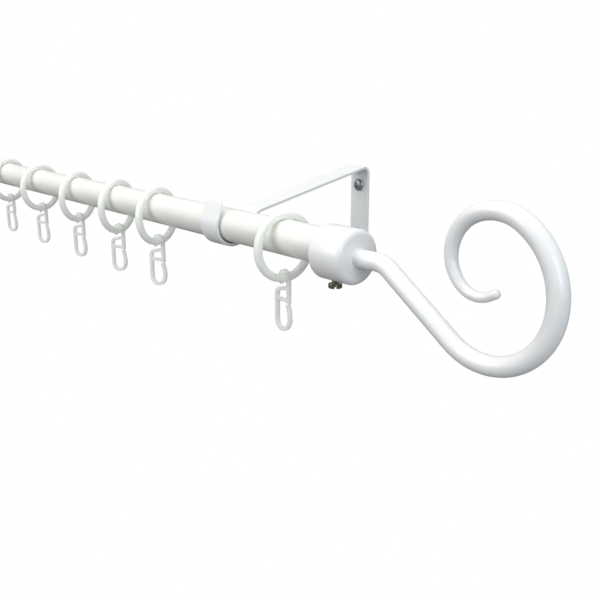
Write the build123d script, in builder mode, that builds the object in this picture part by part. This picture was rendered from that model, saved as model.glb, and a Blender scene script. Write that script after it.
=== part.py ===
from build123d import *

import os
from math import cos, hypot, radians, sin

# A round curtain rod on two flat-bar wall brackets, with a scroll finial on each end and a row of
# rings that carry pleat hooks.
#
# Frame: millimetres. X runs along the rod, +Y into the wall, +Z up. The origin is the middle of the
# four wall screws, on the wall face. The right-hand end is modelled and mirrored for the left one.

# ---- driving sizes ----------------------------------------------------------------------------

# rod
rod_length = 1000.0
rod_diameter = 20.0
rod_wall = 1.0
rod_projection = 116.0  # wall face to rod axis
rod_height = 2.7  # rod axis above the middle of the wall screws

# wall brackets, each one bent flat bar
bracket_inset = 108.5  # end of the rod to the middle of its bracket
bar_width = 16.5
bar_thickness = 2.0
bar_edge_round = 0.5
bar_end_round = 3.0
arm_rise_angle = 12.4
arm_height = 17.7  # arm centre line above the top of the rod, where it meets the wall leg
wall_bend_radius = 4.2
arm_bend_radius = 9.0
cradle_gap = 0.9  # between the rod and the cradle
cradle_back_angle = 58.0  # slope of the cradle's open back
lip_lean = 21.0
lip_length = 11.0
leg_tail = 11.0  # wall leg below the lower screw

# wall screws
screw_spacing = 34.0
screw_diameter = 4.0
screw_hole_clearance = 0.3  # radial
screw_head_diameter = 8.3
screw_head_height = 2.5
screw_length = 9.5
screw_point = 3.5
screw_neck_diameter = 3.6  # plain neck under the head
screw_neck_past = 0.3  # how far the neck runs past the back of the wall leg
cross_width = 1.1
cross_span = 4.8
cross_depth = 1.5

# end caps
cap_wall = 2.2
cap_length = 22.5
cap_front_wall = 5.0
cap_rim_round = 3.0
cap_back_round = 0.7
cap_drop = 2.0  # cap axis below the rod axis: the set screw pulls the cap down
cap_clearance = 0.3  # between the top of the rod and the cap's bore
rod_end_clearance = 0.5

# set screws
set_screw_diameter = 4.0
set_screw_clearance = 0.05
set_screw_head_diameter = 7.4
set_screw_head_height = 2.4
set_screw_neck = 2.0  # bare thread between the cap and the head
set_screw_tip_gap = 0.3
set_screw_offset = 5.5  # from the back of the cap
slot_width = 1.1
slot_depth = 1.2
slot_turn = -40.0  # where the screw stopped: the slot's direction, from the rod's

# scroll finials
scroll_diameter = 9.4
scroll_tip_diameter = 4.3
scroll_root_length = 13.0
scroll_bend_radius = 14.5
scroll_bend_angle = 34.0
scroll_run = 47.0
scroll_turn = 60.0  # each arc of the spiral turns this far
scroll_full_radii = [33.5, 33.0, 36.5]  # at full thickness
scroll_taper_radii = [26.5, 21.0, 18.0, 13.5]  # thinning to the tip
scroll_tip_length = 3.7
spigot_diameter = 7.0
rivet_diameter = 10.0
rivet_height = 1.0

# curtain rings
ring_inner_diameter = 31.5
ring_radial = 4.5
ring_axial = 4.6
ring_corner = 1.8
ring_clearance = 0.3  # between the top of the rod and the ring

outer_ring_offset = 56.3  # bracket middle to the ring outside it
first_ring_offset = 81.5  # bracket middle to the first ring inside it
# The inner rings hang at an even pitch, each pushed along a little by hand. Every ring, the outer
# one first, is also turned a little about the vertical.
right_nudges = [0.0, 11.7, 13.8, 9.0, 4.0]
left_nudges = [6.0, -4.0, 9.0, 3.0, -2.0]
right_turns = [-3.0, 17.0, 22.0, 22.0, 14.0, 18.0]
left_turns = [-12.0, -16.0, 9.0, 19.0, -7.0, 12.0]
# A hook is loose on its ring, so it may twist a little away from the ring's own turn.
right_twists = [0.0, 0.0, -4.0, -8.0, 3.0, -6.0]
left_twists = [5.0, 4.0, -3.0, -7.0, 6.0, 0.0]

# pleat hooks, moulded flat; the sizes are in the hook's own plane, from the ring section's middle
hook_thickness = 2.2
hook_bar = 2.2
hook_clearance = 0.3  # clip to the ring's section
hook_clip_sweep = 235.0
hook_stem = 14.2  # section middle to the stem's foot
hook_shoulder_drop = 5.2  # where the arch leaves the stem
hook_shoulder_fall = 2.4  # how far the arch drops to the far limb
hook_shoulder_round = 3.4
hook_reach = 7.1  # section middle to the far limb
hook_limb_end = 25.5
hook_heel_radius = 5.0
hook_toe_radius = 7.0
hook_crossbar = 13.0  # drop to the crossbar
hook_crossbar_bar = 1.8
hook_tongue_gap = 0.7  # between the tongue's end and the stem's foot
hook_tongue_inset = 0.9  # tongue's end, inward of the stem's line

# ---- places worked out from them --------------------------------------------------------------

rod_radius = rod_diameter / 2
rod_y = -rod_projection
rod_z = rod_height
bracket_x = rod_length / 2 - bracket_inset

# The rod's ends stop just short of the rivet heads inside the end caps.
rod_engagement = cap_length - cap_front_wall - rivet_height - rod_end_clearance
cap_back_x = rod_length / 2 - rod_engagement
cap_front_x = cap_back_x + cap_length
cap_z = rod_z - cap_drop
cap_bore_radius = rod_radius + cap_drop + cap_clearance
cap_diameter = 2 * (cap_bore_radius + cap_wall)

ring_mean_radius = (ring_inner_diameter + ring_radial) / 2
ring_z = rod_z + rod_radius + ring_clearance - ring_inner_diameter / 2
ring_pitch = (bracket_x - first_ring_offset) / (len(right_nudges) - 0.5)

# Cylinders that start at their plane and run along its normal.
along = (Align.CENTER, Align.CENTER, Align.MIN)

os.makedirs("parts", exist_ok=True)


def write(piece, name):
    """Label a finished piece and write it to its own file."""
    piece.part.label = name
    export_step(piece.part, f"parts/{name}.step")


def write_pair(piece, name):
    """Write a right-hand piece, and its mirror image for the left-hand end."""
    write(piece, f"{name}_right")
    with BuildPart() as mirrored:
        mirror(piece.part, about=Plane.YZ)
    write(mirrored, f"{name}_left")


# ---- rod --------------------------------------------------------------------------------------

with BuildPart() as rod_tube:
    with BuildSketch(Plane((0, rod_y, rod_z), z_dir=(1, 0, 0))):
        Circle(rod_radius)
        Circle(rod_radius - rod_wall, mode=Mode.SUBTRACT)
    extrude(amount=rod_length / 2, both=True)
write(rod_tube, "rod_tube")


# ---- wall bracket -----------------------------------------------------------------------------
# The bar's centre line is drawn in the bracket's side plane, from the rod's axis: x towards the
# wall, y up.

side_plane = Plane((bracket_x, rod_y, rod_z), x_dir=(0, 1, 0), z_dir=(1, 0, 0))
leg_line = rod_projection - bar_thickness / 2
leg_foot = -rod_height - screw_spacing / 2 - leg_tail
leg_corner = rod_radius + arm_height
cradle_radius = rod_radius + cradle_gap + bar_thickness / 2

rise = radians(arm_rise_angle)
back = radians(cradle_back_angle)
cradle_start = (cradle_radius * sin(back), -cradle_radius * cos(back))
# Length of the straight back, from the cradle up to where its line meets the arm's.
back_length = (
    (leg_corner - cradle_start[1]) * cos(rise) - (leg_line - cradle_start[0]) * sin(rise)
) / sin(back - rise)
arm_corner = (
    cradle_start[0] + back_length * cos(back),
    cradle_start[1] + back_length * sin(back),
)

with BuildPart() as wall_bracket:
    with BuildSketch(side_plane):
        with BuildLine():
            FilletPolyline(
                (leg_line, leg_foot),
                (leg_line, leg_corner),
                arm_corner,
                cradle_start,
                radius=[wall_bend_radius, arm_bend_radius],
            )
            cradle = CenterArc(
                (0, 0),
                cradle_radius,
                cradle_back_angle - 90,
                -(90 + cradle_back_angle + lip_lean),
            )
            PolarLine(cradle @ 1, lip_length, 90 - lip_lean)
        trace(line_width=bar_thickness)
    extrude(amount=bar_width / 2, both=True)
    # Round the four corners of the bar's two ends, then the long edges of both sides.
    end_corners = wall_bracket.edges().filter_by(
        lambda edge: abs(edge.length - bar_thickness) < 0.01 and edge.geom_type == GeomType.LINE
    )
    fillet(end_corners, bar_end_round)
    sides = wall_bracket.faces().filter_by(Axis.X).sort_by(Axis.X)
    fillet(sides[0].edges() + sides[-1].edges(), bar_edge_round)
    with Locations(Plane((bracket_x, -bar_thickness, 0), x_dir=(1, 0, 0), z_dir=(0, -1, 0))):
        with GridLocations(0, screw_spacing, 1, 2):
            Hole(screw_diameter / 2 + screw_hole_clearance, bar_thickness)
write_pair(wall_bracket, "wall_bracket")


# ---- wall screws ------------------------------------------------------------------------------
# Pan-head screws: the heads bear on the front of the wall leg and the shanks run into the wall.

head_face_y = -bar_thickness - screw_head_height
with BuildPart() as wall_screws:
    for screw_z in (screw_spacing / 2, -screw_spacing / 2):
        with BuildSketch(Plane((bracket_x, 0, screw_z), x_dir=(1, 0, 0), z_dir=(0, 0, 1))):
            with BuildLine():
                shoulder = (screw_head_diameter / 2, -bar_thickness - screw_head_height * 0.3)
                tip = (0, -bar_thickness + screw_length)
                Polyline(
                    tip,
                    (screw_diameter / 2, tip[1] - screw_point),
                    (screw_diameter / 2, screw_neck_past),
                    (screw_neck_diameter / 2, screw_neck_past),
                    (screw_neck_diameter / 2, -bar_thickness),
                    (screw_head_diameter / 2, -bar_thickness),
                    shoulder,
                )
                EllipticalCenterArc(
                    (0, shoulder[1]),
                    screw_head_diameter / 2,
                    screw_head_height * 0.7,
                    start_angle=270,
                    arc_size=90,
                )
                Line((0, head_face_y), tip)
            make_face()
        revolve(axis=Axis((bracket_x, 0, screw_z), (0, 1, 0)))
        with Locations((bracket_x, head_face_y, screw_z)):
            Box(cross_span, 2 * cross_depth, cross_width, mode=Mode.SUBTRACT)
            Box(cross_width, 2 * cross_depth, cross_span, mode=Mode.SUBTRACT)
write_pair(wall_screws, "wall_screws")


# ---- end cap ----------------------------------------------------------------------------------

set_screw_x = cap_back_x + set_screw_offset
cap_plane = Plane((cap_back_x, rod_y, cap_z), z_dir=(1, 0, 0))

with BuildPart() as end_cap:
    with Locations(cap_plane):
        Cylinder(cap_diameter / 2, cap_length, align=along)
    fillet(end_cap.edges().sort_by(Axis.X)[-1], cap_rim_round)
    fillet(end_cap.edges().sort_by(Axis.X)[0], cap_back_round)
    with Locations(cap_plane):
        Cylinder(cap_bore_radius, cap_length - cap_front_wall, align=along, mode=Mode.SUBTRACT)
        Cylinder(spigot_diameter / 2, cap_length, align=along, mode=Mode.SUBTRACT)
    with Locations(Plane((set_screw_x, rod_y, cap_z - cap_diameter / 2), z_dir=(0, 0, -1))):
        Hole(set_screw_diameter / 2 + set_screw_clearance, cap_diameter / 2)
write_pair(end_cap, "end_cap")


# ---- set screw --------------------------------------------------------------------------------

neck_z = cap_z - cap_diameter / 2 - set_screw_neck
tip_z = rod_z - rod_radius - set_screw_tip_gap
with BuildPart(Plane((set_screw_x, rod_y, neck_z), z_dir=(0, 0, 1))) as set_screw:
    Cylinder(set_screw_diameter / 2, tip_z - neck_z, align=along)
    chamfer(set_screw.edges().sort_by(Axis.Z)[-1], set_screw_diameter / 10)
    Cylinder(
        set_screw_head_diameter / 2,
        set_screw_head_height,
        align=(Align.CENTER, Align.CENTER, Align.MAX),
    )
    fillet(set_screw.edges().sort_by(Axis.Z)[0], set_screw_head_height / 5)
    with Locations(Location((0, 0, -set_screw_head_height), (0, 0, slot_turn))):
        Box(2 * set_screw_head_diameter, slot_width, 2 * slot_depth, mode=Mode.SUBTRACT)
write_pair(set_screw, "set_screw")


# ---- scroll finial ----------------------------------------------------------------------------
# One round bar: a straight root, a bend down, a straight run and a spiral of tangent arcs. It keeps
# its thickness through the first arcs and thins evenly from there to the tip.

scroll_plane = Plane((cap_front_x, rod_y, cap_z), x_dir=(1, 0, 0), z_dir=(0, -1, 0))


def scroll_edges():
    """The bar's centre line in its own plane, as full-thickness edges and thinning edges."""
    full = [Line((0, 0), (scroll_root_length, 0), mode=Mode.PRIVATE)]

    def arc(start, radius, angle):
        return JernArc(start @ 1, start % 1, radius, angle, mode=Mode.PRIVATE)

    full.append(arc(full[-1], scroll_bend_radius, -scroll_bend_angle))
    full.append(PolarLine(full[-1] @ 1, scroll_run, -scroll_bend_angle, mode=Mode.PRIVATE))
    for radius in scroll_full_radii:
        full.append(arc(full[-1], radius, scroll_turn))
    thinning = [full[-1]]
    for radius in scroll_taper_radii:
        thinning.append(arc(thinning[-1], radius, scroll_turn))
    tip_angle = scroll_turn * (len(scroll_full_radii) + len(scroll_taper_radii)) - scroll_bend_angle
    thinning.append(PolarLine(thinning[-1] @ 1, scroll_tip_length, tip_angle, mode=Mode.PRIVATE))
    return full, thinning[1:]


full_edges, thinning_edges = scroll_edges()
full_path = scroll_plane * Wire([edge.edge() for edge in full_edges])
thinning_length = sum(edge.length for edge in thinning_edges)

with BuildPart() as finial_scroll:
    with BuildSketch(Plane(full_path @ 0, z_dir=full_path % 0)):
        Circle(scroll_diameter / 2)
    sweep(path=full_path)
    thickness = scroll_diameter
    for flat_edge in thinning_edges:
        edge = scroll_plane * flat_edge.edge()
        thinner = thickness - (scroll_diameter - scroll_tip_diameter) * edge.length / thinning_length
        for place, diameter in ((0, thickness), (1, thinner)):
            with BuildSketch(Plane(edge @ place, z_dir=edge % place)):
                Circle(diameter / 2)
        sweep(path=edge, multisection=True)
        thickness = thinner
    with Locations(edge @ 1):
        Sphere(scroll_tip_diameter / 2)
    # The spigot goes through the end cap's front wall and is riveted over inside it.
    with Locations(Plane((cap_front_x, rod_y, cap_z), z_dir=(-1, 0, 0))):
        Cylinder(spigot_diameter / 2, cap_front_wall + rivet_height, align=along)
    with Locations(Plane((cap_front_x - cap_front_wall, rod_y, cap_z), z_dir=(-1, 0, 0))):
        Cylinder(rivet_diameter / 2, rivet_height, align=along)
write_pair(finial_scroll, "finial_scroll")


# ---- curtain rings and pleat hooks ------------------------------------------------------------

hook_clip_radius = (
    hypot(ring_radial / 2 - ring_corner, ring_axial / 2 - ring_corner)
    + ring_corner
    + hook_clearance
    + hook_bar / 2
)


def level_axis(turn):
    """The rod's direction, turned about the vertical by so many degrees."""
    return (cos(radians(turn)), sin(radians(turn)), 0)


def make_ring(centre, axis):
    """A plain moulded ring with a rounded-rectangle section."""
    with BuildPart() as ring:
        with BuildSketch(Plane(centre, x_dir=axis, z_dir=(axis[1], -axis[0], 0))):
            with Locations((0, -ring_mean_radius)):
                RectangleRounded(ring_axial, ring_radial, ring_corner)
        revolve(axis=Axis(centre, axis))
    return ring


def make_hook(middle, axis):
    """A flat moulded hook, clipped over the ring's section at its lowest point."""
    stem = hook_clip_radius
    with BuildPart() as hook:
        with BuildSketch(Plane(middle, x_dir=axis, z_dir=(axis[1], -axis[0], 0))):
            with BuildLine():
                clip = CenterArc((0, 0), stem, 0, hook_clip_sweep)
                Line((stem, 0), (stem, -hook_stem))
            trace(line_width=hook_bar)
            with BuildLine():
                far_top = -hook_shoulder_drop - hook_shoulder_fall
                limb_end = (-hook_reach, -hook_limb_end)
                FilletPolyline(
                    (stem, -hook_shoulder_drop),
                    (-hook_reach, far_top),
                    limb_end,
                    radius=[hook_shoulder_round],
                )
                heel_middle = (hook_heel_radius - hook_reach, -hook_limb_end)
                heel = CenterArc(heel_middle, hook_heel_radius, 180, 90)
                toe_middle = (heel_middle[0], -hook_limb_end - hook_heel_radius + hook_toe_radius)
                toe = CenterArc(toe_middle, hook_toe_radius, 270, 90)
                tongue_end = (stem - hook_tongue_inset, -hook_stem - hook_tongue_gap)
                TangentArc(toe @ 1, tongue_end, tangent=(0, 1))
            trace(line_width=hook_bar)
            with BuildLine():
                Line((-hook_reach, -hook_crossbar), (stem, -hook_crossbar))
            trace(line_width=hook_crossbar_bar)
        extrude(amount=hook_thickness / 2, both=True)
    return hook


right_places = [bracket_x + outer_ring_offset]
left_places = [-bracket_x - outer_ring_offset]
for station, (right_nudge, left_nudge) in enumerate(zip(right_nudges, left_nudges)):
    even_place = bracket_x - first_ring_offset - station * ring_pitch
    right_places.append(even_place + right_nudge)
    left_places.append(-even_place + left_nudge)

# Numbered along the rod from its right-hand end.
ring_places = right_places + left_places[::-1]
ring_turns = right_turns + left_turns[::-1]
hook_twists = right_twists + left_twists[::-1]
for number, (ring_x, turn, twist) in enumerate(zip(ring_places, ring_turns, hook_twists), start=1):
    ring = make_ring((ring_x, rod_y, ring_z), level_axis(turn))
    write(ring, f"curtain_ring_{number:02d}")
    hook = make_hook((ring_x, rod_y, ring_z - ring_mean_radius), level_axis(turn + twist))
    write(hook, f"pleat_hook_{number:02d}")
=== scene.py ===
import math

import bmesh
import bpy
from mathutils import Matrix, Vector


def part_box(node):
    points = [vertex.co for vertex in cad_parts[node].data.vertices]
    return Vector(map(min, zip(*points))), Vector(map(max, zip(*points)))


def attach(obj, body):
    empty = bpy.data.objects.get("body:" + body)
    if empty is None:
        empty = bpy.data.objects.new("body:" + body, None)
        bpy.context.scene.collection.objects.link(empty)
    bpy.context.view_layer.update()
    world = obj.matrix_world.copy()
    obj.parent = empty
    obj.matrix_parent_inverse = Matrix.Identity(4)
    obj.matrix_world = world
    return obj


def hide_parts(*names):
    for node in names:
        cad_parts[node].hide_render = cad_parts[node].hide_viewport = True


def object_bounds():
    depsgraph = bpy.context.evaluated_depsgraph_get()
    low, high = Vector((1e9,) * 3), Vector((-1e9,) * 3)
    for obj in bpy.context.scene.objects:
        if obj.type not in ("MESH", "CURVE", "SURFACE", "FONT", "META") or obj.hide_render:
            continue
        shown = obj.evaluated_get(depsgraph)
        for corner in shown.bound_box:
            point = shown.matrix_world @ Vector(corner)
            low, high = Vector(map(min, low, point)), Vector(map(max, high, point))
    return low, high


bl_info = {
    "name": "Curtain rod with brackets",
    "version": (1, 0, 0),
    "blender": (4, 5, 0),
    "location": "3D View > Sidebar > Curtain Rod",
    "description": "White curtain rod on brackets, with scroll finials, rings and pleat hooks",
    "category": "Object",
}

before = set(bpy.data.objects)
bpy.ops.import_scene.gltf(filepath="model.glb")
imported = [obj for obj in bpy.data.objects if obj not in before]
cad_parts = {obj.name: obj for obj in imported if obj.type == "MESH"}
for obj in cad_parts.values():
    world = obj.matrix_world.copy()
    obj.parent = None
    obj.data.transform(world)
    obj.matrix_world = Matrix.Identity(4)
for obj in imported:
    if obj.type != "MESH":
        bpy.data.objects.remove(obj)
cad_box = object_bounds()

MM = 0.001
SIDES = ("right", "left")

# Sizes that repeat the frame's pieces, where their boxes don't give them.
SCREW_HEAD_RADIUS = 4.15 * MM
SCREW_HEAD_HEIGHT = 2.5 * MM
SCREW_HEAD_RIM = 0.3  # share of the head's height that is straight
SCREW_SHANK_RADIUS = 2.0 * MM
SCREW_CORE_RADIUS = 1.44 * MM
SCREW_NECK_RADIUS = 1.8 * MM
SCREW_NECK_LENGTH = 2.3 * MM
SCREW_POINT_LENGTH = 3.5 * MM
CROSS_FOOT_DEPTH = 1.7 * MM  # below the top of the head
CROSS_FOOT = (1.6 * MM, 0.7 * MM)
CROSS_MOUTH = (5.4 * MM, 1.25 * MM)
CAP_BORE_RADIUS = 12.3 * MM
CAP_FRONT_WALL = 5.0 * MM
CAP_RIM_ROUND = 3.0 * MM
CAP_BACK_ROUND = 0.7 * MM
CAP_BORE_CHAMFER = 0.2 * MM
SPIGOT_RADIUS = 3.5 * MM
SET_HEAD_HEIGHT = 2.4 * MM
SET_HEAD_ROUND = 0.48 * MM
SET_SHANK_RADIUS = 2.0 * MM
SET_CORE_RADIUS = 1.64 * MM
SET_SLOT_WIDTH = 1.1 * MM
SET_SLOT_DEPTH = 1.2 * MM
SCROLL_ROOT = 13.0 * MM
SCROLL_BEND_RADIUS = 14.5 * MM
SCROLL_BEND_ANGLE = math.radians(34)
SCROLL_RUN = 47.0 * MM
SCROLL_ARC = math.radians(60)
SCROLL_FULL_RADII = (33.5 * MM, 33.0 * MM, 36.5 * MM)
SCROLL_THINNING_RADII = (26.5 * MM, 21.0 * MM, 18.0 * MM, 13.5 * MM)
SCROLL_TIP_LENGTH = 3.7 * MM


# ---- places in the frame ----------------------------------------------------------------------


def middle(node):
    """The middle of a CAD node's box."""
    low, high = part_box(node)
    return (low + high) / 2


def outward(side):
    """The direction along the rod from the middle to that end: +1 or -1."""
    return 1 if side == "right" else -1


# ---- mesh making ------------------------------------------------------------------------------


def piece_from(name, mesh, sharp_angle=math.radians(38)):
    """An object for a finished mesh, smooth except across edges sharper than the angle."""
    mesh.validate()
    for face in mesh.polygons:
        face.use_smooth = True
    mesh.set_sharp_from_angle(angle=sharp_angle)
    piece = bpy.data.objects.new(name, mesh)
    bpy.context.scene.collection.objects.link(piece)
    return piece


def loft_mesh(name, loops, ring_closed=False):
    """Quads between neighbouring loops of points, with the ends capped or joined to each other."""
    mesh = bmesh.new()
    rows = [[mesh.verts.new(point) for point in loop] for loop in loops]
    pairs = list(zip(rows, rows[1:]))
    if ring_closed:
        pairs.append((rows[-1], rows[0]))
    count = len(rows[0])
    for near, far in pairs:
        for i in range(count):
            j = (i + 1) % count
            mesh.faces.new((near[i], near[j], far[j], far[i]))
    if not ring_closed:
        mesh.faces.new(rows[0][::-1])
        mesh.faces.new(rows[-1])
    bmesh.ops.recalc_face_normals(mesh, faces=mesh.faces)
    data = bpy.data.meshes.new(name)
    mesh.to_mesh(data)
    mesh.free()
    return data


def across(axis):
    """Two unit vectors square to an axis and to each other."""
    axis = Vector(axis).normalized()
    helper = Vector((0, 0, 1)) if abs(axis.z) < 0.9 else Vector((1, 0, 0))
    first = axis.cross(helper).normalized()
    return first, axis.cross(first)


def turned_loops(origin, axis, profile, segments):
    """One loop of points for each (distance along the axis, radius) of a profile."""
    axis = Vector(axis).normalized()
    first, second = across(axis)
    loops = []
    for along, radius in profile:
        centre = Vector(origin) + axis * along
        loop = []
        for i in range(segments):
            angle = 2 * math.pi * i / segments
            loop.append(centre + (first * math.cos(angle) + second * math.sin(angle)) * radius)
        loops.append(loop)
    return loops


def round_corner(corner, start, end, radius, steps=6):
    """Points of a quarter round at a corner of a profile, between the two directions it joins."""
    corner = Vector(corner)
    into = Vector(start).normalized() * radius
    out = Vector(end).normalized() * radius
    centre = corner + into + out
    points = []
    for i in range(steps + 1):
        angle = math.pi / 2 * i / steps
        points.append(tuple(centre - out * math.cos(angle) - into * math.sin(angle)))
    return points


def threaded_loops(origin, axis, length, core, crest, pitch, point_length):
    """Loops of a screw's shank: a helical ridge on a core, with a tapered end if it has a point."""
    segments, loops_per_turn = 28, 14
    tip_share, ridge_half_width = 0.06, 0.34
    axis = Vector(axis).normalized()
    first, second = across(axis)
    count = int(length / pitch * loops_per_turn)
    loops = []
    for k in range(count + 1):
        along = length * k / count
        taper = min(1.0, tip_share + (length - along) / point_length) if point_length else 1.0
        fade = min(1.0, along / pitch, (length - along) / pitch)
        loop = []
        for i in range(segments):
            angle = 2 * math.pi * i / segments
            phase = (along / pitch - i / segments) % 1.0
            ridge = max(0.0, 1.0 - abs(phase - 0.5) / ridge_half_width)
            radius = (core + (crest - core) * ridge * fade) * taper
            direction = first * math.cos(angle) + second * math.sin(angle)
            loop.append(Vector(origin) + axis * along + direction * radius)
        loops.append(loop)
    return loops


def cut(piece, cutters):
    """Cuts closed meshes out of a piece, and removes the cutters."""
    for cutter in cutters:
        modifier = piece.modifiers.new("cut", "BOOLEAN")
        modifier.operation = "DIFFERENCE"
        modifier.solver = "EXACT"
        modifier.object = cutter
    bpy.context.view_layer.update()
    shaped = piece.evaluated_get(bpy.context.evaluated_depsgraph_get())
    mesh = bpy.data.meshes.new_from_object(shaped)
    piece.modifiers.clear()
    piece.data = mesh
    for cutter in cutters:
        bpy.data.objects.remove(cutter)


def slab(name, foot, foot_size, mouth_size, depth_axis, depth, long_axis):
    """A block to cut with. Each end's size is its length along long_axis and its width."""
    depth_axis = Vector(depth_axis).normalized()
    long_axis = Vector(long_axis).normalized()
    third = depth_axis.cross(long_axis)
    loops = []
    for place, (long, wide) in ((0, foot_size), (1, mouth_size)):
        base = Vector(foot) + depth_axis * depth * place
        corners = ((-1, -1), (1, -1), (1, 1), (-1, 1))
        loops.append([base + long_axis * long / 2 * a + third * wide / 2 * b for a, b in corners])
    block = bpy.data.objects.new(name, loft_mesh(name, loops))
    bpy.context.scene.collection.objects.link(block)
    return block


def join_meshes(name, meshes):
    """One mesh with all the faces of several."""
    joined = bmesh.new()
    for mesh in meshes:
        joined.from_mesh(mesh)
    data = bpy.data.meshes.new(name)
    joined.to_mesh(data)
    joined.free()
    return data


def settle(piece, body, finish, nodes):
    """Puts a piece on its body and finish, in place of its CAD nodes."""
    piece.data.materials.clear()
    piece.data.materials.append(finish)
    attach(piece, body)
    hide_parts(*nodes)


def repaint(node, finish):
    """Gives a CAD node that stays in view its finish."""
    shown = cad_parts[node]
    shown.data.materials.clear()
    shown.data.materials.append(finish)


# ---- shader making ----------------------------------------------------------------------------


class Level:
    """A number that varies over a surface. Arithmetic on it adds Math nodes."""

    def __init__(self, paint, socket):
        self.paint = paint
        self.socket = socket

    def maths(self, operation, *values):
        made = self.paint.node("ShaderNodeMath", {"operation": operation}, *values)
        return Level(self.paint, made.outputs[0])

    def __add__(self, other):
        return self.maths("ADD", self, other)

    __radd__ = __add__

    def __sub__(self, other):
        return self.maths("SUBTRACT", self, other)

    def __rsub__(self, other):
        return self.maths("SUBTRACT", other, self)

    def __mul__(self, other):
        return self.maths("MULTIPLY", self, other)

    __rmul__ = __mul__


class NodeTree:
    """The emptied node tree of a material or a world."""

    def __init__(self, holder):
        holder.use_nodes = True
        self.tree = holder.node_tree
        self.tree.nodes.clear()

    def node(self, kind, settings=None, *values, **named):
        """A node of that kind, with settings, then values or links by socket order or by name."""
        made = self.tree.nodes.new(kind)
        for setting, value in (settings or {}).items():
            setattr(made, setting, value)
        for index, value in enumerate(values):
            self.feed(made.inputs[index], value)
        for key, value in named.items():
            self.feed(made.inputs[key.replace("_", " ")], value)
        return made

    def feed(self, socket, value):
        """Sets a socket, or links it."""
        if isinstance(value, Level):
            value = value.socket
        if isinstance(value, bpy.types.NodeSocket):
            self.tree.links.new(value, socket)
        else:
            socket.default_value = value


class Paint(NodeTree):
    """One node material, with its main shader ready."""

    def __init__(self, name):
        self.material = bpy.data.materials.new(name)
        super().__init__(self.material)
        self.shader = self.node("ShaderNodeBsdfPrincipled")
        self.output = self.node("ShaderNodeOutputMaterial", {}, self.shader.outputs[0])
        self.place = self.node("ShaderNodeTexCoord").outputs["Object"]

    def noise(self, size, detail=2.0, roughness=0.5, stretch=None):
        """Noise whose features are about that many metres across, as a Level from 0 to 1."""
        place = self.place
        if stretch:
            mapped = self.node("ShaderNodeMapping", {}, Vector=place, Scale=stretch)
            place = mapped.outputs[0]
        made = self.node(
            "ShaderNodeTexNoise",
            {},
            Vector=place,
            Scale=1 / size,
            Detail=detail,
            Roughness=roughness,
        )
        return Level(self, made.outputs["Fac"])

    def blend(self, share, first, second):
        """A colour between two others."""
        made = self.node("ShaderNodeMix", {"data_type": "RGBA"})
        self.feed(made.inputs[0], share)
        self.feed(made.inputs[6], first)
        self.feed(made.inputs[7], second)
        return made.outputs[2]

    def surface(self, **named):
        """Feeds the main shader's sockets."""
        for key, value in named.items():
            self.feed(self.shader.inputs[key.replace("_", " ")], value)

    def relief(self, height, distance):
        """Bump from a height, fed to the shader."""
        bump = self.node("ShaderNodeBump", {}, Strength=1.0, Distance=distance)
        self.feed(bump.inputs["Height"], height)
        self.feed(self.shader.inputs["Normal"], bump.outputs[0])


def colour_of(value, scale=1.0):
    """A four-part colour from a property, made lighter or darker."""
    return (value[0] * scale, value[1] * scale, value[2] * scale, 1.0)


def finished(name, make):
    """The material of that name, made on first use."""
    return bpy.data.materials.get(name) or make(name)


def powder_coat(name):
    """Satin white powder coating: fine orange peel, a few soft shade changes and dust specks."""
    look = bpy.context.scene.curtain_finishes
    paint = Paint(name)
    drift = paint.noise(0.09, 1.0)
    speck = paint.noise(0.0016, 2.0)
    base = look.rod_coat if name == "rod_coating" else look.coat
    coat = paint.blend(drift, colour_of(base), colour_of(base, 0.975))
    unevenness = 0.10 * (speck - 0.5) + 0.05 * (drift - 0.5)
    paint.surface(
        Base_Color=coat,
        Roughness=look.coat_roughness + unevenness,
        IOR=1.5,
        Coat_Weight=0.25,
        Coat_Roughness=0.12,
    )
    paint.relief(paint.noise(0.0013, 2.0) + 0.5 * paint.noise(0.004, 1.0), 0.000025)
    return paint.material


def zinc_plate(name):
    """Bright zinc plating with a cloudy grain."""
    look = bpy.context.scene.curtain_finishes
    paint = Paint(name)
    cloud = paint.noise(0.0011, 3.0)
    paint.surface(
        Base_Color=paint.blend(cloud, colour_of(look.zinc), colour_of(look.zinc, 0.6)),
        Roughness=0.22 + 0.22 * cloud,
        Metallic=1.0,
    )
    paint.relief(paint.noise(0.0004, 2.0), 0.00002)
    return paint.material


def bronzed_steel(name):
    """Dark bronzed steel with a bright, oily sheen."""
    look = bpy.context.scene.curtain_finishes
    paint = Paint(name)
    cloud = paint.noise(0.0014, 3.0)
    paint.surface(
        Base_Color=paint.blend(cloud, colour_of(look.bronze), colour_of(look.bronze, 0.45)),
        Roughness=0.16 + 0.2 * cloud,
        Metallic=1.0,
    )
    paint.relief(paint.noise(0.0005, 2.0), 0.00002)
    return paint.material


def ring_plastic(name):
    """Moulded white plastic: soft flow streaks, a fine satin grain and a painted glow in the ring's
    own colour.
    """
    look = bpy.context.scene.curtain_finishes
    paint = Paint(name)
    flow = paint.noise(0.010, 2.0, 0.6, (1.0, 1.0, 2.6))
    grain = paint.noise(0.0008, 2.0)
    paint.surface(
        Base_Color=paint.blend(flow, colour_of(look.ring), colour_of(look.ring, 0.96)),
        Roughness=0.30 + 0.12 * grain,
        IOR=1.49,
        Subsurface_Weight=0.5,
        Subsurface_Radius=(0.004, 0.004, 0.0036),
        Subsurface_Scale=1.0,
        # Painted glow: emission in the ring's own colour that lightens the whole ring, though the
        # ring is no lamp.
        Emission_Color=colour_of(look.ring),
        Emission_Strength=look.ring_painted_glow,
    )
    paint.relief(grain, 0.00002)
    return paint.material


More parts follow.
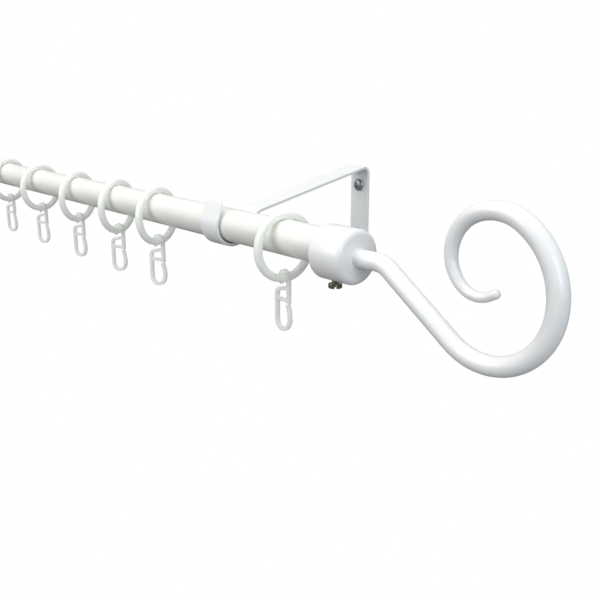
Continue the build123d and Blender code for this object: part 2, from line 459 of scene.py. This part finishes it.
def hook_nylon(name):
    """Milky, slightly see-through nylon with flow marks, and a painted glow in the hook's own
    colour.
    """
    look = bpy.context.scene.curtain_finishes
    paint = Paint(name)
    flow = paint.noise(0.0045, 3.0, 0.6, (1.0, 1.0, 0.5))
    grain = paint.noise(0.0006, 2.0)
    paint.surface(
        Base_Color=paint.blend(flow, colour_of(look.hook), colour_of(look.hook, 0.86)),
        Roughness=0.24 + 0.14 * grain,
        IOR=1.53,
        Alpha=1 - look.hook_clarity,
        # Painted glow: emission in the hook's colour, streaked like the flow marks, that lightens
        # the whole hook, though the hook is no lamp.
        Emission_Color=paint.blend(flow, colour_of(look.hook), colour_of(look.hook, 0.9)),
        Emission_Strength=look.hook_painted_glow,
    )
    paint.relief(grain, 0.00002)
    return paint.material


# ---- settings a user may change ---------------------------------------------------------------


def length(label, text, default):
    """A length property in metres."""
    return bpy.props.FloatProperty(
        name=label, description=text, default=default, min=0.0, unit="LENGTH"
    )


def angle(label, text, degrees):
    """An angle property."""
    return bpy.props.FloatProperty(
        name=label, description=text, default=math.radians(degrees), subtype="ANGLE"
    )


def colour(label, text, default):
    """A colour property."""
    return bpy.props.FloatVectorProperty(
        name=label,
        description=text,
        default=default,
        min=0.0,
        max=1.0,
        size=3,
        subtype="COLOR",
    )


def factor(label, text, default):
    """A share from 0 to 1."""
    return bpy.props.FloatProperty(
        name=label, description=text, default=default, min=0.0, max=1.0, subtype="FACTOR"
    )


def power(label, text, default):
    """A lamp's power in watts."""
    return bpy.props.FloatProperty(
        name=label, description=text, default=default, min=0.0, unit="POWER"
    )


class CurtainSizes(bpy.types.PropertyGroup):
    """Sizes of what the looks add to the frame."""

    tube_wall: length("Tube wall", "Wall thickness of the rod", 1.0 * MM)
    tube_chamfer: length("Tube chamfer", "Break on the rims of the rod", 0.15 * MM)
    bar: length("Scroll bar", "Diameter of the scroll's bar at full thickness", 9.4 * MM)
    tip: length("Scroll tip", "Diameter of the scroll's bar at its tip", 4.3 * MM)
    bead: length("Root bead", "Coating built up where the scroll meets its cap", 0.5 * MM)
    wall_pitch: length("Wall screw pitch", "Thread pitch of the wall screws", 1.4 * MM)
    set_pitch: length("Set screw pitch", "Thread pitch of the set screws", 0.7 * MM)
    slot_turn: angle("Set screw slot", "The slot's direction, from the rod's", -40.0)
    hook_round: length("Hook edge", "Round on the moulded edges of the hooks", 0.35 * MM)


class CurtainFinishes(bpy.types.PropertyGroup):
    """Colours and sheens."""

    coat: colour("Coating", "White powder coating", (0.88, 0.88, 0.875))
    rod_coat: colour("Rod coating", "The rod's slightly creamier coating", (0.88, 0.885, 0.83))
    coat_roughness: factor("Coating roughness", "Roughness of the powder coating", 0.30)
    zinc: colour("Zinc", "Wall screws", (0.50, 0.55, 0.56))
    bronze: colour("Bronzed steel", "Set screws", (0.44, 0.41, 0.32))
    ring: colour("Ring plastic", "Curtain rings", (0.78, 0.79, 0.75))
    hook: colour("Hook nylon", "Pleat hooks", (0.86, 0.87, 0.83))
    hook_clarity: factor("Hook clarity", "How far the hooks let what is behind them show", 0.35)
    # Painted glow: the strength of an emission that makes the hooks lighter all over, not light let
    # through from behind.
    hook_painted_glow: factor("Hook glow", "Light that the nylon scatters from behind", 0.10)
    # Painted glow: the strength of an emission that makes the rings lighter all over, not light let
    # through from behind.
    ring_painted_glow: factor("Ring glow", "Light that the ring plastic scatters from behind", 0.17)
    floor: colour("Floor", "The studio floor", (0.80, 0.80, 0.80))


class CurtainStudio(bpy.types.PropertyGroup):
    """Camera and lights."""

    lens: bpy.props.FloatProperty(
        name="Lens",
        description="Focal length on a 36 mm sensor",
        default=46.48,
        min=10.0,
        unit="CAMERA",
    )
    azimuth: angle("Azimuth", "Camera heading", 49.42)
    elevation: angle("Elevation", "Camera height angle", 15.64)
    floor_drop: length("Floor drop", "Floor below the lowest piece", 0.45)
    key_power: power("Key light", "Overhead softbox", 14.5)
    front_power: power("Front light", "Softbox on the room side", 15.0)
    side_power: power("Side light", "Softbox past the end of the rod", 12.0)
    air: factor("Air", "Light from all round", 0.40)


# ---- pieces -----------------------------------------------------------------------------------


class CURTAIN_OT_rod(bpy.types.Operator):
    """Turn the smooth rod tube"""

    bl_idname = "curtain.rod"
    bl_label = "Rod tube"

    def execute(self, context):
        size = context.scene.curtain_sizes
        low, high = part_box("rod_tube")
        centre = middle("rod_tube")
        outer = (high.z - low.z) / 2
        inner = outer - size.tube_wall
        reach = high.x - low.x
        rim = size.tube_chamfer
        spans = 40
        profile = [(0, inner + rim), (0, outer - rim), (rim, outer)]
        profile += [(reach * i / spans, outer) for i in range(1, spans)]
        profile += [(reach - rim, outer), (reach, outer - rim), (reach, inner + rim)]
        profile += [(reach - rim, inner), (rim, inner)]
        start = (low.x, centre.y, centre.z)
        loops = turned_loops(start, (1, 0, 0), profile, 128)
        mesh = loft_mesh("rod_skin", loops, ring_closed=True)
        rod = piece_from("rod_skin", mesh)
        settle(rod, "rod", finished("rod_coating", powder_coat), ["rod_tube"])
        return {"FINISHED"}


class CURTAIN_OT_brackets(bpy.types.Operator):
    """Coat the flat-bar wall brackets"""

    bl_idname = "curtain.brackets"
    bl_label = "Wall brackets"

    def execute(self, context):
        for side in SIDES:
            repaint(f"wall_bracket_{side}", finished("powder_coat", powder_coat))
        return {"FINISHED"}


class CURTAIN_OT_wall_screws(bpy.types.Operator):
    """Make the cross-head wall screws, with their threads"""

    bl_idname = "curtain.wall_screws"
    bl_label = "Wall screws"

    def head(self, seat, cross_foot):
        """The mesh of a pan head with a tapered cross recess."""
        steps = 14
        rim = SCREW_HEAD_HEIGHT * SCREW_HEAD_RIM
        dome = [(0, SCREW_HEAD_RADIUS), (rim, SCREW_HEAD_RADIUS)]
        for i in range(1, steps):
            angle = math.pi / 2 * i / steps
            rise = (SCREW_HEAD_HEIGHT - rim) * math.sin(angle)
            dome.append((rim + rise, SCREW_HEAD_RADIUS * math.cos(angle)))
        head = piece_from("head", loft_mesh("head", turned_loops(seat, (0, -1, 0), dome, 64)))
        arms = [
            slab("arm", cross_foot, CROSS_FOOT, CROSS_MOUTH, (0, -1, 0), 2.0 * MM, long_axis)
            for long_axis in ((1, 0, 0), (0, 0, 1))
        ]
        cut(head, arms)
        mesh = head.data
        bpy.data.objects.remove(head)
        return mesh

    def execute(self, context):
        size = context.scene.curtain_sizes
        for side in SIDES:
            node = f"wall_screws_{side}"
            low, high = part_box(node)
            meshes = []
            for z in (low.z + SCREW_HEAD_RADIUS, high.z - SCREW_HEAD_RADIUS):
                seat = Vector(((low.x + high.x) / 2, low.y + SCREW_HEAD_HEIGHT, z))
                meshes.append(self.head(seat, (seat.x, low.y + CROSS_FOOT_DEPTH, z)))
                neck = [
                    (0, SCREW_NECK_RADIUS),
                    (SCREW_NECK_LENGTH + SCREW_CORE_RADIUS, SCREW_NECK_RADIUS),
                ]
                meshes.append(loft_mesh("neck", turned_loops(seat, (0, 1, 0), neck, 32)))
                loops = threaded_loops(
                    seat + Vector((0, SCREW_NECK_LENGTH, 0)),
                    (0, 1, 0),
                    high.y - seat.y - SCREW_NECK_LENGTH,
                    SCREW_CORE_RADIUS,
                    SCREW_SHANK_RADIUS,
                    size.wall_pitch,
                    SCREW_POINT_LENGTH,
                )
                meshes.append(loft_mesh("shank", loops))
            screws = piece_from(f"{node}_threaded", join_meshes(node, meshes), math.radians(30))
            settle(screws, "brackets", finished("zinc_plate", zinc_plate), [node])
        return {"FINISHED"}


class CURTAIN_OT_end_caps(bpy.types.Operator):
    """Turn the socket end caps"""

    bl_idname = "curtain.end_caps"
    bl_label = "End caps"

    def execute(self, context):
        for side in SIDES:
            node = f"end_cap_{side}"
            low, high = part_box(node)
            out = outward(side)
            radius = (high.z - low.z) / 2
            reach = high.x - low.x
            floor = reach - CAP_FRONT_WALL
            start = (low.x if out > 0 else high.x, middle(node).y, middle(node).z)
            profile = [(0, CAP_BORE_RADIUS + CAP_BORE_CHAMFER)]
            profile += round_corner((0, radius), (0, -1), (1, 0), CAP_BACK_ROUND, 5)
            profile += round_corner((reach, radius), (-1, 0), (0, -1), CAP_RIM_ROUND, 10)
            profile += [(reach, SPIGOT_RADIUS), (floor, SPIGOT_RADIUS), (floor, CAP_BORE_RADIUS)]
            profile.append((CAP_BORE_CHAMFER, CAP_BORE_RADIUS))
            mesh = loft_mesh(node, turned_loops(start, (out, 0, 0), profile, 96), ring_closed=True)
            cap = piece_from(f"{node}_turned", mesh, math.radians(30))
            settle(
                cap,
                f"finial_{side}",
                finished("powder_coat", powder_coat),
                [node],
            )
        return {"FINISHED"}


def scroll_stations(bead):
    """The scroll's centre line in its own plane, as (point, heading, length, thinning length)."""
    point, heading, gone, thinned = Vector((0, 0)), 0.0, 0.0, 0.0
    stations = [(point.copy(), heading, gone, thinned)]

    def advance(step, is_thinning):
        nonlocal gone, thinned
        gone += step
        if is_thinning:
            thinned += step
        stations.append((point.copy(), heading, gone, thinned))

    def straight(run, steps, is_thinning=False):
        nonlocal point
        for _ in range(steps):
            point = point + Vector((math.cos(heading), math.sin(heading))) * run / steps
            advance(run / steps, is_thinning)

    def bend(radius, angle, steps, is_thinning=False):
        nonlocal point, heading
        side = 1 if angle > 0 else -1
        centre = point + Vector((-math.sin(heading), math.cos(heading))) * side * radius
        for _ in range(steps):
            heading += angle / steps
            point = centre - Vector((-math.sin(heading), math.cos(heading))) * side * radius
            advance(radius * abs(angle) / steps, is_thinning)

    straight(bead, 5)
    straight(SCROLL_ROOT - bead, 5)
    bend(SCROLL_BEND_RADIUS, -SCROLL_BEND_ANGLE, 14)
    straight(SCROLL_RUN, 12)
    for radius in SCROLL_FULL_RADII:
        bend(radius, SCROLL_ARC, 20)
    for radius in SCROLL_THINNING_RADII:
        bend(radius, SCROLL_ARC, 18, True)
    straight(SCROLL_TIP_LENGTH, 3, True)
    return stations


def bar_loop(root, out, point, heading, radius):
    """A circle of points square to the scroll's centre line."""
    segments = 48
    ahead = Vector((out * math.cos(heading), 0, math.sin(heading)))
    first = Vector((0, 1, 0))
    second = ahead.cross(first)
    centre = root + Vector((out * point.x, 0, point.y))
    loop = []
    for i in range(segments):
        angle = 2 * math.pi * i / segments
        loop.append(centre + first * radius * math.cos(angle) + second * radius * math.sin(angle))
    return loop


class CURTAIN_OT_scrolls(bpy.types.Operator):
    """Roll the scroll finials"""

    bl_idname = "curtain.scrolls"
    bl_label = "Scroll finials"

    def execute(self, context):
        size = context.scene.curtain_sizes
        stations = scroll_stations(size.bead)
        end, end_heading, _, thinning = stations[-1]
        tip_radius, tip_steps = size.tip / 2, 8
        for side in SIDES:
            out = outward(side)
            low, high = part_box(f"end_cap_{side}")
            axis = middle(f"end_cap_{side}")
            root = Vector((high.x if out > 0 else low.x, axis.y, axis.z))
            loops = []
            for point, heading, gone, thinned in stations:
                radius = (size.bar + (size.tip - size.bar) * thinned / thinning) / 2
                flare = max(0.0, 1 - gone / size.bead)
                radius += size.bead * (1 - math.sqrt(1 - flare * flare))
                loops.append(bar_loop(root, out, point, heading, radius))
            for i in range(1, tip_steps + 1):
                angle = math.pi / 2 * i / (tip_steps + 0.5)
                ahead = Vector((math.cos(end_heading), math.sin(end_heading)))
                point = end + ahead * tip_radius * math.sin(angle)
                loops.append(bar_loop(root, out, point, end_heading, tip_radius * math.cos(angle)))
            mesh = loft_mesh("scroll", loops)
            scroll = piece_from(f"finial_scroll_{side}_rolled", mesh, math.radians(50))
            settle(
                scroll,
                f"finial_{side}",
                finished("powder_coat", powder_coat),
                [f"finial_scroll_{side}"],
            )
        return {"FINISHED"}


class CURTAIN_OT_set_screws(bpy.types.Operator):
    """Make the slotted set screws under the caps"""

    bl_idname = "curtain.set_screws"
    bl_label = "Set screws"

    def execute(self, context):
        size = context.scene.curtain_sizes
        for side in SIDES:
            node = f"set_screw_{side}"
            low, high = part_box(node)
            centre = middle(node)
            radius = (high.x - low.x) / 2
            profile = round_corner((0, radius), (0, -1), (1, 0), SET_HEAD_ROUND, 5)
            profile += round_corner(
                (SET_HEAD_HEIGHT, radius), (-1, 0), (0, -1), SET_HEAD_ROUND / 2, 4
            )
            foot = (centre.x, centre.y, low.z)
            head = piece_from("head", loft_mesh("head", turned_loops(foot, (0, 0, 1), profile, 64)))
            slot_foot = (centre.x, centre.y, low.z + SET_SLOT_DEPTH)
            slot_size = (3 * radius, SET_SLOT_WIDTH)
            slot_line = (math.cos(size.slot_turn), outward(side) * math.sin(size.slot_turn), 0)
            cutter = slab("slot", slot_foot, slot_size, slot_size, (0, 0, -1), 2 * MM, slot_line)
            cut(head, [cutter])
            neck = (centre.x, centre.y, low.z + SET_HEAD_HEIGHT)
            loops = threaded_loops(
                neck,
                (0, 0, 1),
                high.z - neck[2],
                SET_CORE_RADIUS,
                SET_SHANK_RADIUS,
                size.set_pitch,
                0.0,
            )
            mesh = join_meshes(node, [head.data, loft_mesh("shank", loops)])
            bpy.data.objects.remove(head)
            screw = piece_from(f"{node}_threaded", mesh, math.radians(30))
            finish = finished("bronzed_steel", bronzed_steel)
            settle(screw, node, finish, [node])
        return {"FINISHED"}


class CURTAIN_OT_rings(bpy.types.Operator):
    """Finish the moulded curtain rings"""

    bl_idname = "curtain.rings"
    bl_label = "Curtain rings"

    def execute(self, context):
        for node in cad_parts:
            if node.startswith("curtain_ring"):
                repaint(node, finished("satin_ring", ring_plastic))
        return {"FINISHED"}


class CURTAIN_OT_hooks(bpy.types.Operator):
    """Round the moulded edges of the pleat hooks"""

    bl_idname = "curtain.hooks"
    bl_label = "Pleat hooks"

    def execute(self, context):
        size = context.scene.curtain_sizes
        for node in sorted(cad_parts):
            if not node.startswith("pleat_hook"):
                continue
            shape = bmesh.new()
            shape.from_mesh(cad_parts[node].data)
            bmesh.ops.remove_doubles(shape, verts=shape.verts, dist=0.002 * MM)
            bmesh.ops.dissolve_limit(
                shape, angle_limit=math.radians(0.5), verts=shape.verts, edges=shape.edges
            )
            rims = [
                edge
                for edge in shape.edges
                if len(edge.link_faces) == 2 and edge.calc_face_angle() > math.radians(45)
            ]
            bmesh.ops.bevel(
                shape,
                geom=rims,
                offset=size.hook_round,
                segments=3,
                profile=0.5,
                affect="EDGES",
                clamp_overlap=True,
            )
            bmesh.ops.recalc_face_normals(shape, faces=shape.faces)
            mesh = bpy.data.meshes.new(f"{node}_moulded")
            shape.to_mesh(mesh)
            shape.free()
            hook = piece_from(f"{node}_moulded", mesh, math.radians(40))
            body = node.replace("pleat_hook", "hook")
            settle(hook, body, finished("milky_hook", hook_nylon), [node])
        return {"FINISHED"}


# ---- stage ------------------------------------------------------------------------------------


def studio_floor(name):
    """A pale, evenly lit floor that throws only a little light back up."""
    look = bpy.context.scene.curtain_finishes
    paint = Paint(name)
    cloud = paint.noise(0.4, 2.0)
    paint.surface(
        Base_Color=paint.blend(cloud, colour_of(look.floor, 0.26), colour_of(look.floor, 0.25)),
        Roughness=0.8 + 0.1 * cloud,
    )
    seen = paint.node("ShaderNodeLightPath").outputs["Is Camera Ray"]
    glow = paint.node("ShaderNodeEmission", {}, colour_of(look.floor, 1.25), 1.0)
    mixed = paint.node("ShaderNodeMixShader", {}, seen, paint.shader.outputs[0], glow.outputs[0])
    paint.feed(paint.output.inputs[0], mixed.outputs[0])
    return paint.material


def studio_air(name, strength):
    """A white surround that lights the pieces by a smaller share."""
    world = bpy.data.worlds.new(name)
    air = NodeTree(world)
    lit = air.node("ShaderNodeBackground", {}, (0.95, 0.98, 1.0, 1.0), strength)
    white = air.node("ShaderNodeBackground", {}, (1.0, 1.0, 1.0, 1.0))
    seen = air.node("ShaderNodeLightPath").outputs["Is Camera Ray"]
    mixed = air.node("ShaderNodeMixShader", {}, seen, lit.outputs[0], white.outputs[0])
    air.node("ShaderNodeOutputWorld", {}, mixed.outputs[0])
    return world


def softbox(name, place, target, width, depth, power, tint):
    """A rectangular area light that looks at a point."""
    lamp = bpy.data.lights.new(name, "AREA")
    lamp.shape = "RECTANGLE"
    lamp.size = width
    lamp.size_y = depth
    lamp.energy = power
    lamp.color = tint
    holder = bpy.data.objects.new(name, lamp)
    holder.location = place
    holder.rotation_euler = (Vector(target) - Vector(place)).to_track_quat("-Z", "Y").to_euler()
    bpy.context.scene.collection.objects.link(holder)


class CURTAIN_OT_stage(bpy.types.Operator):
    """Set up the pale floor, the soft lights and the camera"""

    bl_idname = "curtain.stage"
    bl_label = "Studio"

    def execute(self, context):
        scene = context.scene
        look, studio = scene.curtain_finishes, scene.curtain_studio
        floor_z = cad_box[0][2] - studio.floor_drop
        reach = 14.0
        corners = [(-reach, -reach), (reach, -reach), (reach, reach), (-reach, reach)]
        mesh = bpy.data.meshes.new("floor")
        mesh.from_pydata([(x, y, floor_z) for x, y in corners], [], [(0, 1, 2, 3)])
        floor = bpy.data.objects.new("floor", mesh)
        scene.collection.objects.link(floor)
        mesh.materials.append(studio_floor("studio_floor"))
        scene.world = studio_air("studio_air", studio.air)

        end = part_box("rod_tube")[1]
        axis = middle("rod_tube")
        aim = (end.x, axis.y, axis.z)
        above = (end.x - 0.1, axis.y - 0.15, axis.z + 1.3)
        softbox("overhead_softbox", above, aim, 1.6, 1.2, studio.key_power, (1.0, 0.995, 0.985))
        front = (end.x - 0.9, axis.y - 1.5, axis.z + 0.7)
        softbox("front_softbox", front, aim, 1.2, 1.2, studio.front_power, (1.0, 1.0, 1.0))
        beside = (end.x + 1.5, axis.y - 0.5, axis.z + 0.5)
        softbox("side_softbox", beside, aim, 1.0, 1.0, studio.side_power, (0.86, 0.93, 1.0))

        lens = bpy.data.cameras.new("camera")
        lens.sensor_width = 36.0
        lens.lens = studio.lens
        lens.clip_start = 0.01
        camera = bpy.data.objects.new("camera", lens)
        camera.location = Vector(aim) + Vector((0.2761, -0.2698, 0.0825))
        camera.rotation_euler = (math.pi / 2 - studio.elevation, 0.0, studio.azimuth)
        scene.collection.objects.link(camera)
        scene.camera = camera
        scene.view_settings.view_transform = "Standard"
        return {"FINISHED"}


# ---- panel and registration -------------------------------------------------------------------

OPERATORS = (
    CURTAIN_OT_rod,
    CURTAIN_OT_brackets,
    CURTAIN_OT_wall_screws,
    CURTAIN_OT_end_caps,
    CURTAIN_OT_scrolls,
    CURTAIN_OT_set_screws,
    CURTAIN_OT_rings,
    CURTAIN_OT_hooks,
    CURTAIN_OT_stage,
)


class CURTAIN_PT_pieces(bpy.types.Panel):
    """Sidebar list of the curtain rod's pieces and settings"""

    bl_idname = "CURTAIN_PT_pieces"
    bl_label = "Curtain Rod"
    bl_space_type = "VIEW_3D"
    bl_region_type = "UI"
    bl_category = "Curtain Rod"

    def draw(self, context):
        for group in (
            context.scene.curtain_sizes,
            context.scene.curtain_finishes,
            context.scene.curtain_studio,
        ):
            box = self.layout.box()
            for key in group.__annotations__:
                box.prop(group, key)
        for operator in OPERATORS:
            self.layout.operator(operator.bl_idname)


CLASSES = (CurtainSizes, CurtainFinishes, CurtainStudio) + OPERATORS + (CURTAIN_PT_pieces,)


def register():
    """Registers the classes and hangs the settings on the scene."""
    for each in CLASSES:
        bpy.utils.register_class(each)
    bpy.types.Scene.curtain_sizes = bpy.props.PointerProperty(type=CurtainSizes)
    bpy.types.Scene.curtain_finishes = bpy.props.PointerProperty(type=CurtainFinishes)
    bpy.types.Scene.curtain_studio = bpy.props.PointerProperty(type=CurtainStudio)


def unregister():
    """Takes the settings and the classes away again."""
    del bpy.types.Scene.curtain_studio
    del bpy.types.Scene.curtain_finishes
    del bpy.types.Scene.curtain_sizes
    for each in reversed(CLASSES):
        bpy.utils.unregister_class(each)


def main():
    """Builds every piece and the studio."""
    register()
    bpy.ops.curtain.rod()
    bpy.ops.curtain.brackets()
    bpy.ops.curtain.wall_screws()
    bpy.ops.curtain.end_caps()
    bpy.ops.curtain.scrolls()
    bpy.ops.curtain.set_screws()
    bpy.ops.curtain.rings()
    bpy.ops.curtain.hooks()
    bpy.ops.curtain.stage()


if __name__ == "__main__":
    main()
